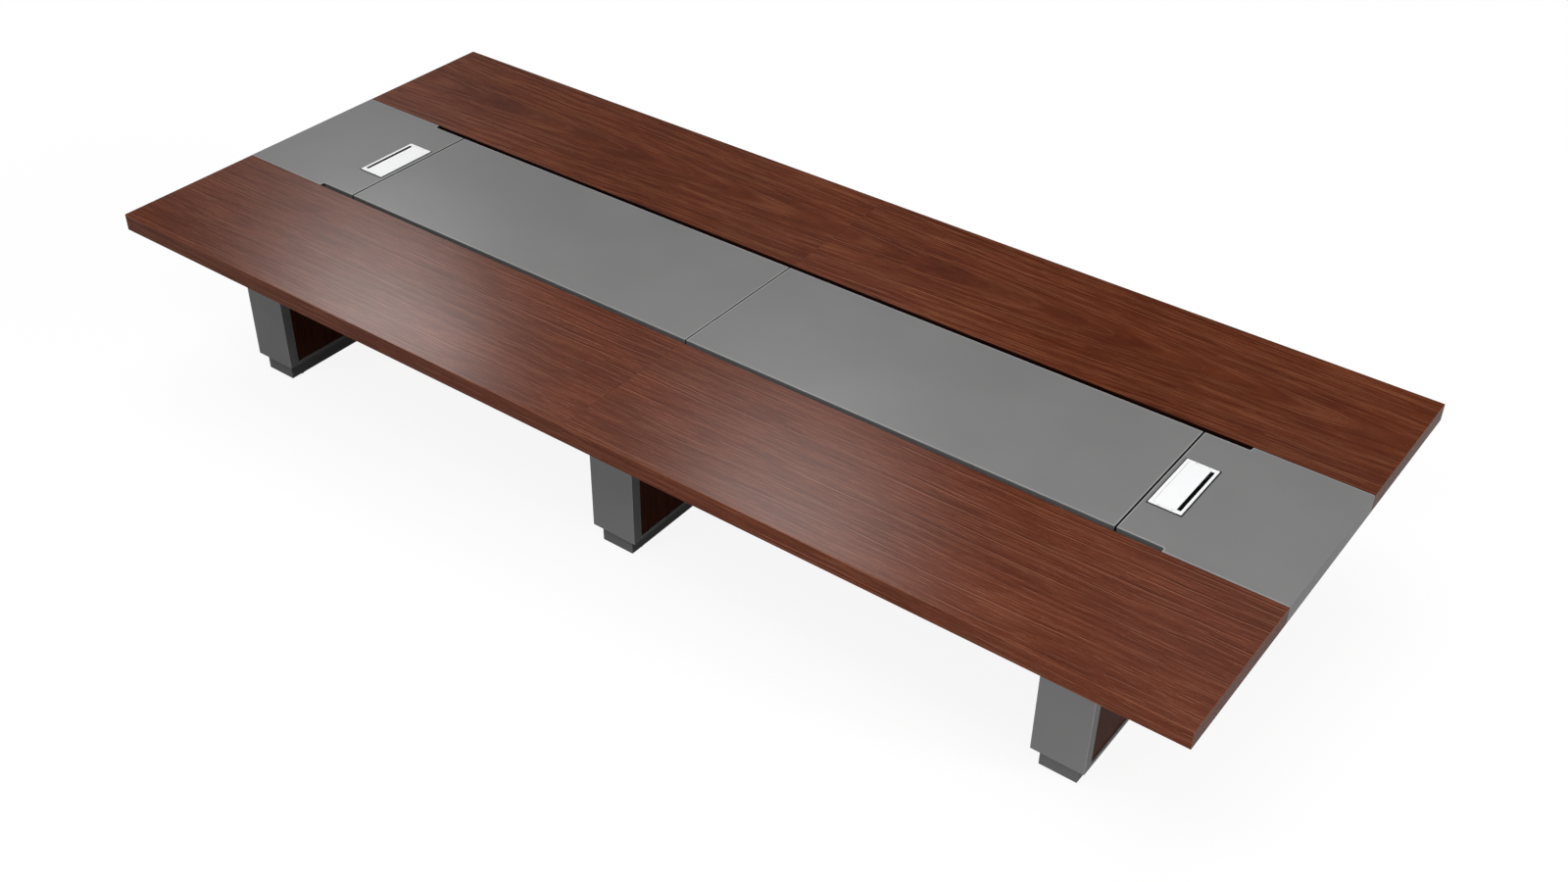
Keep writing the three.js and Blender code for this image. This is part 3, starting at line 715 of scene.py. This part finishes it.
# %% [markdown]
# ## The wood tops and the grey band
# The tops have the roundest edge, two millimetres, because arms rest on it. The covers and end panels are
# laminate, with a strip painted pale round each panel's top, a painted highlight that shows from above as
# a pale line. Where two panels meet, their ends are painted near black, and so are the sides of the tops
# that face the cable slots: painted shade, so slots and seams read as dark lines. The table's own ends are
# painted a paler grey instead, painted light that brings them up to the top's brightness, with no pale line.
# Further materials on the same mesh, chosen face by face, do that.

# %% Finish the tops, the covers and the end panels
# the last width is the pale strip painted round each panel's top as a highlight
TOP_ARRIS, PANEL_ARRIS, PANEL_HIGHLIGHT_STRIP = 0.0022, 0.0014, 0.0042
PANEL_HIGHLIGHT = 0.45  # how strongly laminate edges are painted pale as a highlight; worn wood edges take 1.0
for node in ("wood_top_near", "wood_top_far"):
    board = softened(node, TOP_ARRIS, finishes[node])
    # the second material is near-black: painted shade on the sides that face the slots
    board.data.materials.append(finishes["slot_stain"])
    low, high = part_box(node)
    slot_side = low.y if low.y > 0 else high.y
    for face in board.data.polygons:
        if abs(face.center.y - slot_side) < TOP_ARRIS:
            face.material_index = 1

STEEP = 0.6  # part of the arris counts as side, the rest as top
table_end = cad_high.x - PANEL_ARRIS - PANEL_HIGHLIGHT_STRIP
for node in ("cover_left", "cover_right", "end_panel_left", "end_panel_right"):
    board = softened(node, PANEL_ARRIS, finishes["grey_laminate"], worn_and_highlit=PANEL_HIGHLIGHT, highlight_strip=PANEL_HIGHLIGHT_STRIP)
    # two more materials: near-black painted shade for the seams, paler painted light for the table's ends
    for name in ("seam_edge", "end_band"):
        board.data.materials.append(finishes[name])
    wear_and_highlight = board.data.attributes["arris"].data
    for face in board.data.polygons:
        at_end = abs(face.center.x) > table_end
        # at the table's ends the edges lose their painted highlight
        if at_end:
            wear_and_highlight[face.index].value = 0.0
        # end faces take the paler painted light at the table's ends, and the near-black painted shade where
        # two panels meet
        if abs(face.normal.x) > STEEP:
            face.material_index = 2 if at_end else 1
print("top parts finished")

# %% [markdown]
# ## The legs
# Each leg is a box: a thick grey board at either end, grey boards at its head and foot, and veneered panels
# let in between them a little behind the frame, with the grain standing upright. It stands on a dark plinth.

# %% Finish the legs
LEGS = ("left_pedestal", "middle_pedestal", "right_pedestal")
CROSSWISE, UPRIGHT = 1, 2  # axes that grain can run along
BOARD_ARRIS, SIDE_ARRIS, PLINTH_ARRIS, BEARER_ARRIS = 0.0010, 0.0006, 0.0012, 0.0015
for leg in LEGS:
    for side in ("near_board", "far_board", "base_board", "head_board"):
        softened(f"{leg}_{side}", BOARD_ARRIS, finishes[slot_of[f"{leg}_{side}"]])
    for side in ("left_side", "right_side"):
        softened(f"{leg}_{side}", SIDE_ARRIS, finishes["pedestal_wood"], UPRIGHT)
    softened(f"{leg}_plinth", PLINTH_ARRIS, finishes["plinth_grey"])
for place in ("left_outer", "left_inner", "middle", "right_inner", "right_outer"):
    softened(f"bearer_{place}", BEARER_ARRIS, finishes["bearer_wood"], CROSSWISE)
print("legs and bearers finished")

# %% [markdown]
# ## The cable boxes
# A flat metal flange with a lid and a brush let into it. The lid is a separate piece, so that it can swing
# up with its hinge. Folded and blasted metal keeps a small crisp edge. A thin black seal lies under the
# flange and stands five millimetres out past it, so it paints the dark shadow line round each box.

# %% Finish the boxes and lay their seals
SEAL_PROUD_AS_SHADOW, SEAL_HIDDEN, SEAL_THICK = 0.0052, 0.004, 0.0009  # how far it stands outside the flange to paint the shadow line, how far under it, and its height
METAL_ARRIS, PIN_ARRIS = 0.0004, 0.0002
panel_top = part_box("end_panel_right")[1].z


def bridge(shape, first, second):
    """Joins two rings of points with a band of faces."""
    onward = 1 - len(first)
    return [shape.faces.new((first[k], first[k + onward], second[k + onward], second[k]))
            for k in range(len(first))]


def kept(shape, name):
    """Keeps a finished shape as a mesh."""
    mesh = bpy.data.meshes.new(name)
    shape.to_mesh(mesh)
    shape.free()
    return mesh


def shadow_line_ring(box):
    """A flat black ring that stands out from under the flange: a seal that paints the shadow line round the
    box.
    """
    low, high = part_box(f"{box}_frame")
    shape = bmesh.new()
    outline = []
    for out in (SEAL_PROUD_AS_SHADOW, -SEAL_HIDDEN):
        for up in (SEAL_THICK, 0.0):
            outline.append([shape.verts.new((x, y, panel_top + up)) for x, y in (
                (low.x - out, low.y - out), (high.x + out, low.y - out),
                (high.x + out, high.y + out), (low.x - out, high.y + out))])
    outer_top, outer_foot, inner_top, inner_foot = outline
    for first, second in ((outer_foot, outer_top), (outer_top, inner_top),
                          (inner_top, inner_foot), (inner_foot, outer_foot)):
        bridge(shape, first, second)
    mesh = kept(shape, f"{box}_seal")
    mesh.materials.append(finishes["glide_nylon"])
    return put_in_scene(f"{box}_seal", mesh)


for box in ("wire_box_left", "wire_box_right"):
    for part in ("frame", "lid"):
        softened(f"{box}_{part}", METAL_ARRIS, finishes["wire_box_metal"])
    for pin in ("pin_a", "pin_b"):
        softened(f"{box}_{pin}", PIN_ARRIS, finishes["pin_steel"])
    painted_shadow_seal = shadow_line_ring(box)
    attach(painted_shadow_seal, body_of[f"{box}_frame"])
print("boxes finished")

# %% [markdown]
# ## Geometry Nodes for what repeats
# Bristles, screws and feet are one small shape many times over. A Geometry Nodes tree places the copies by
# rule, from named inputs. The tree ends by making the copies real and giving them their finish, and the
# result is then kept as a plain mesh, with no modifier left on it.


# %% Helpers that open, close and run a tree
def open_tree(name, inputs):
    """A tree with a shape coming in, named inputs, and a shape going out."""
    tree = bpy.data.node_groups.new(name, "GeometryNodeTree")
    tree.is_modifier = True
    tree.interface.new_socket("Shape", in_out="INPUT", socket_type="NodeSocketGeometry")
    for label, kind in inputs + [("Finish", "Material")]:
        tree.interface.new_socket(label, in_out="INPUT", socket_type="NodeSocket" + kind)
    tree.interface.new_socket("Shape", in_out="OUTPUT", socket_type="NodeSocketGeometry")
    return tree, tree.nodes.new("NodeGroupInput").outputs


def close_tree(tree, given, shape):
    """Makes copies real, sets the finish and ends the tree."""
    real = from_node(tree, "GeometryNodeRealizeInstances", {0: shape})
    painted = add_node(tree, "GeometryNodeSetMaterial", {"Geometry": real, "Material": given["Finish"]})
    tree.links.new(painted.outputs[0], tree.nodes.new("NodeGroupOutput").inputs["Shape"])
    print(tree.name, "has", len(tree.nodes), "nodes")


def grow(name, seed_mesh, tree, body, slot, **values):
    """Runs a tree on a mesh and keeps the result as a plain mesh that rides on a body."""
    piece = put_in_scene(name, seed_mesh)
    modifier = piece.modifiers.new("grow", "NODES")
    modifier.node_group = tree
    sockets = {item.name: item.identifier for item in tree.interface.items_tree if item.in_out == "INPUT"}
    for label, value in values.items():
        modifier[sockets[label.replace("_", " ")]] = value
    modifier[sockets["Finish"]] = finishes[slot]
    graph = bpy.context.evaluated_depsgraph_get()
    mesh = bpy.data.meshes.new_from_object(piece.evaluated_get(graph))
    piece.modifiers.clear()
    piece.data = mesh
    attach(piece, body)
    low, high = ([round(op(v.co[k] for v in mesh.vertices), 4) for k in range(3)] for op in (min, max))
    print(name, len(mesh.polygons), "faces from", low, "to", high)
    return piece


# %% [markdown]
# ### The cable brushes
# A strip of black bristles closes the gap beside each lid, and cables push through it. The bristles stand in
# a bar under the flange, in rows, and no two lean quite alike. Each is a thin tapered rod of five sides: with
# fifteen hundred of them in a strip, more sides would be wasted.

# %% Build the bristle tree
STRAND_SIDES, TIP_SHARE, SHORTEST = 5, 0.5, 0.86  # tip radius and shortest length, as shares of the whole
ROOT_JITTER = (0.0, 0.0005, 0.0003)

bristles, given = open_tree("cable_brush", [
    ("Strands", "Int"), ("Rows", "Int"), ("Strip Length", "Float"), ("Strip Height", "Float"),
    ("Strand Length", "Float"), ("Strand Radius", "Float"), ("Lean", "Float"), ("Seed", "Int"),
    ("Root", "Vector"), ("Place", "Vector"), ("Turn", "Vector")])


def vector_sums(tree, operation, first, second):
    """One step of arithmetic on two vectors."""
    return from_node(tree, "ShaderNodeVectorMath", {0: first, 1: second}, operation=operation)


def chance_vector(tree, low, high, seed):
    """A different vector for each copy, between low and high."""
    inputs = {0: low, 1: high, "Seed": seed}
    return from_node(tree, "FunctionNodeRandomValue", inputs, data_type="FLOAT_VECTOR")


def random_vector(tree, spread, seed, centre=(0, 0, 0)):
    """A different vector for each copy, around a centre."""
    ends = [vector_sums(tree, "MULTIPLY", spread, (sign,) * 3) for sign in (-1, 1)]
    return chance_vector(tree, *(vector_sums(tree, "ADD", end, centre) for end in ends), seed)


roots = from_node(bristles, "GeometryNodeMeshGrid", {
    "Size X": given["Strip Length"], "Size Y": given["Strip Height"],
    "Vertices X": given["Strands"], "Vertices Y": given["Rows"]})
position = from_node(bristles, "GeometryNodeInputPosition")
spot = add_node(bristles, "ShaderNodeSeparateXYZ", {0: position}).outputs
upright = from_node(bristles, "ShaderNodeCombineXYZ", {1: spot["X"], 2: spot["Y"]})
for extra in (random_vector(bristles, ROOT_JITTER, given["Seed"]), given["Root"]):
    upright = vector_sums(bristles, "ADD", upright, extra)
roots = from_node(bristles, "GeometryNodeSetPosition", {"Geometry": roots, "Position": upright})
strand = from_node(bristles, "GeometryNodeMeshCone", {
    "Vertices": STRAND_SIDES, "Radius Top": sums(bristles, "MULTIPLY", given["Strand Radius"], TIP_SHARE),
    "Radius Bottom": given["Strand Radius"], "Depth": given["Strand Length"]})
lean = from_node(bristles, "ShaderNodeCombineXYZ", {1: given["Lean"], 2: given["Lean"]})
towards_lid = random_vector(bristles, lean, given["Seed"], (0.0, -math.pi / 2, 0.0))
trim = chance_vector(bristles, (1, 1, SHORTEST), (1, 1, 1), given["Seed"])
copies = from_node(bristles, "GeometryNodeInstanceOnPoints", {
    "Points": roots, "Instance": strand, "Rotation": towards_lid, "Scale": trim})
whole = add_node(bristles, "GeometryNodeJoinGeometry").inputs[0]
for part in (given["Shape"], copies):
    bristles.links.new(part, whole)
moved = from_node(bristles, "GeometryNodeTransform", {
    "Geometry": whole.node.outputs[0], "Translation": given["Place"], "Rotation": given["Turn"]})
close_tree(bristles, given, moved)

# %% Model the bar and grow a brush in each box
BAR = ((0.0525, -0.1340, -0.0080), (0.0570, 0.1340, 0.0))  # low and high corners, from the box's middle
BAR_LIP, BAR_GROOVE, BAR_ARRIS = 0.0012, 0.0008, 0.0003
ROOT_IN_BAR, ROOTS_UP = 0.0004, -0.0025  # how deep the strands start in the bar, and at what height


def middle_of(node):
    """The middle of a CAD part's box."""
    return sum(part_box(node), Vector()) / 2


def brush_bar():
    """A folded bar: a block with its edges rounded and a groove where the strands leave it."""
    (x0, y0, z0), (x1, y1, z1) = BAR
    deep, foot, head = x0 + BAR_GROOVE, z0 + BAR_LIP, z1 - BAR_LIP
    outline = [(x0, z0), (x1, z0), (x1, z1), (x0, z1), (x0, head), (deep, head), (deep, foot), (x0, foot)]
    shape = bmesh.new()
    rings = [[shape.verts.new((x, y, z)) for x, z in outline] for y in (y0, y1)]
    bridge(shape, rings[1], rings[0])
    shape.faces.new(rings[0])
    shape.faces.new(rings[1][::-1])
    bmesh.ops.recalc_face_normals(shape, faces=shape.faces)
    bmesh.ops.bevel(shape, geom=shape.edges[:], offset=BAR_ARRIS, segments=2, profile=0.5, affect="EDGES")
    return kept(shape, "brush_bar")


for box, turn in (("wire_box_left", math.pi), ("wire_box_right", 0.0)):
    middle = middle_of(f"{box}_frame")
    brush = grow(
        f"{box}_bristles", brush_bar(), bristles, body_of[f"{box}_brush"], "brush_nylon",
        Strands=194, Rows=8, Strip_Length=0.2666, Strip_Height=0.0090, Strand_Length=0.0149,
        Strand_Radius=0.00035, Lean=0.06, Seed=7, Root=(BAR[0][0] + ROOT_IN_BAR, 0.0, ROOTS_UP),
        Place=(middle.x, middle.y, panel_top), Turn=(0.0, 0.0, turn))
    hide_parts(f"{box}_brush")

# %% [markdown]
# ### Screws and feet
# Both are turned parts, so each is modelled once, ring by ring. One tree then lays copies on a grid and
# repeats that grid along the table: four screws in the rim of each box, sixteen under each trough, four
# feet under each leg. Screws never stop at the same angle, so each is spun by its own amount.

# %% Build the tree for fixings
fixings, given = open_tree("repeated_fixings", [
    ("Across X", "Float"), ("Across Y", "Float"), ("Count X", "Int"), ("Count Y", "Int"),
    ("Grids", "Int"), ("First Grid", "Vector"), ("Grid Step", "Vector"), ("Seed", "Int")])
grid = from_node(fixings, "GeometryNodeMeshGrid", {
    "Size X": given["Across X"], "Size Y": given["Across Y"],
    "Vertices X": given["Count X"], "Vertices Y": given["Count Y"]})
spin = add_node(fixings, "FunctionNodeRandomValue", {2: 0.0, 3: math.tau, "Seed": given["Seed"]}).outputs[1]
spun = from_node(fixings, "ShaderNodeCombineXYZ", {2: spin})
one_grid = from_node(fixings, "GeometryNodeInstanceOnPoints", {
    "Points": grid, "Instance": given["Shape"], "Rotation": spun})
places = from_node(fixings, "GeometryNodeMeshLine", {
    "Count": given["Grids"], "Start Location": given["First Grid"], "Offset": given["Grid Step"]})
all_grids = add_node(fixings, "GeometryNodeInstanceOnPoints", {"Points": places, "Instance": one_grid})
close_tree(fixings, given, all_grids.outputs[0])

# %% Turn two screw heads and a foot
RECESS_TAPER = 0.7  # width of a screw's recess at its bottom, as a share of its mouth


def turned(name, rings, sides, cross=None):
    """Rings of (radius, height) joined into a solid; cross sinks a cross-shaped recess into the last ring."""
    shape = bmesh.new()
    loops = []
    for radius, up in rings:
        angles = [math.tau * (k + 0.5) / sides for k in range(sides)]
        loops.append([shape.verts.new((radius * math.cos(a), radius * math.sin(a), up)) for a in angles])
    if cross:
        reach, deep = cross
        waist = reach * math.tan(math.pi / 12)
        arms = [(reach, waist), (waist, waist), (waist, reach)]
        corners = []
        for quarter in range(4):
            c, s = round(math.cos(quarter * math.pi / 2)), round(math.sin(quarter * math.pi / 2))
            corners += [(c * x - s * y, s * x + c * y) for x, y in arms]
        for scale, up in ((1.0, rings[-1][1]), (RECESS_TAPER, rings[-1][1] - deep)):
            loops.append([shape.verts.new((scale * x, scale * y, up)) for x, y in corners])
    for low, high in zip(loops, loops[1:]):
        for face in bridge(shape, low, high):
            face.smooth = True
    shape.faces.new(loops[0][::-1])
    shape.faces.new(loops[-1])
    bmesh.ops.recalc_face_normals(shape, faces=shape.faces)
    return kept(shape, name)


SCREW_SIDES, FOOT_SIDES = 12, 28
RIM_CROSS, PAN_CROSS = (0.0014, 0.0008), (0.0017, -0.0012)  # half a recess across, and how far down it goes
RIM_SCREW = [(0.0024, -0.0003), (0.0024, 0.00005), (0.0022, 0.00012)]
PAN_SCREW = [(0.0040, 0.0), (0.0040, -0.0006), (0.0034, -0.0016), (0.0024, -0.0021)]
FOOT = [(0.0110, 0.0050), (0.0110, 0.0022), (0.0106, 0.0013), (0.0095, 0.0002), (0.0090, 0.0)]
rim_screw = turned("rim_screw", RIM_SCREW, SCREW_SIDES, RIM_CROSS)
pan_screw = turned("pan_screw", PAN_SCREW, SCREW_SIDES, PAN_CROSS)
foot = turned("foot", FOOT, FOOT_SIDES)
print("screw", len(rim_screw.polygons), "faces, foot", len(foot.polygons), "faces")

# %% Repeat them where they belong
SHEET = 0.0015  # thickness of a trough's steel
box_middle, box_top = middle_of("wire_box_right_frame"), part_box("wire_box_right_frame")[1].z
grow("box_rim_screws", rim_screw, fixings, "table", "pin_steel", Across_X=0.050, Across_Y=0.2945,
     Count_X=2, Count_Y=2, Grids=2, First_Grid=(-box_middle.x, 0.0, box_top),
     Grid_Step=(2 * box_middle.x, 0.0, 0.0), Seed=3)
trough_middle, trough_top = middle_of("trough_right"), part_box("trough_right")[1].z
grow("trough_screws", pan_screw, fixings, "table", "pin_steel", Across_X=1.61, Across_Y=0.790,
     Count_X=8, Count_Y=2, Grids=2, First_Grid=(-trough_middle.x, 0.0, trough_top - SHEET),
     Grid_Step=(2 * trough_middle.x, 0.0, 0.0), Seed=5)
glide_nodes = [f"{leg}_glide_{y}_{x}" for leg in LEGS for y in ("near", "far") for x in ("left", "right")]
first, last = middle_of(glide_nodes[0]), middle_of(glide_nodes[3])  # of the left leg
step = middle_of("middle_pedestal_plinth").x - middle_of("left_pedestal_plinth").x
feet = grow("leg_feet", foot, fixings, "table", "glide_nylon", Across_X=last.x - first.x,
            Across_Y=last.y - first.y, Count_X=2, Count_Y=2, Grids=3,
            First_Grid=((first.x + last.x) / 2, 0.0, 0.0), Grid_Step=(step, 0.0, 0.0), Seed=1)
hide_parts(*glide_nodes)

# %% [markdown]
# ### The cable troughs
# A trough is one strip of steel sheet folded four times: flange, side, floor, side, flange. Drawn as a bare
# line across the trough, that is five straight runs. The tree rounds the four folds, pulls the line out to
# the trough's length, and gives the sheet its thickness, which is how a folding machine would see it too.

# %% Build the folding tree
folded, given = open_tree("folded_trough", [
    ("Fold Radius", "Float"), ("Pull", "Vector"), ("Sheet", "Float"), ("Steps", "Int")])
line = from_node(folded, "GeometryNodeMeshToCurve", {0: given["Shape"]})
bent = from_node(folded, "GeometryNodeFilletCurve", {
    "Curve": line, "Count": given["Steps"], "Radius": given["Fold Radius"]}, mode="POLY")
bare = from_node(folded, "GeometryNodeCurveToMesh", {"Curve": bent})
pulled = {"Mesh": bare, "Offset": given["Pull"]}
skin = from_node(folded, "GeometryNodeExtrudeMesh", pulled, mode="EDGES")
thick = from_node(folded, "GeometryNodeExtrudeMesh", {
    "Mesh": skin, "Offset Scale": given["Sheet"], "Individual": False}, mode="FACES")
inside = from_node(folded, "GeometryNodeFlipFaces", {0: skin})
both = add_node(folded, "GeometryNodeJoinGeometry").inputs[0]
for part in (thick, inside):
    folded.links.new(part, both)
solid = add_node(folded, "GeometryNodeMergeByDistance", {"Geometry": both.node.outputs[0], "Distance": 1e-6})
close_tree(folded, given, solid.outputs[0])

# %% Fold the two troughs
FLANGE, FOLD = 0.0415, 0.0022  # from a trough's outer edge to the inside of its wall, and the folds' radius
for node in ("trough_left", "trough_right"):
    low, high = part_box(node)
    wall = high.y - FLANGE
    section = [(high.y, high.z), (wall, high.z), (wall, low.z + SHEET), (-wall, low.z + SHEET),
               (-wall, high.z), (low.y, high.z)]
    line_mesh = bpy.data.meshes.new(node + "_section")
    runs = [(k, k + 1) for k in range(len(section) - 1)]
    line_mesh.from_pydata([(low.x, y, z) for y, z in section], runs, [])
    trough = grow(node + "_folded", line_mesh, folded, body_of[node], "trough_steel",
                  Fold_Radius=FOLD, Pull=(high.x - low.x, 0.0, 0.0), Sheet=SHEET, Steps=5)
    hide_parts(node)

# %% Measure the finished model's box
low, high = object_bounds()
print("visual box", [round(v, 4) for v in high - low])
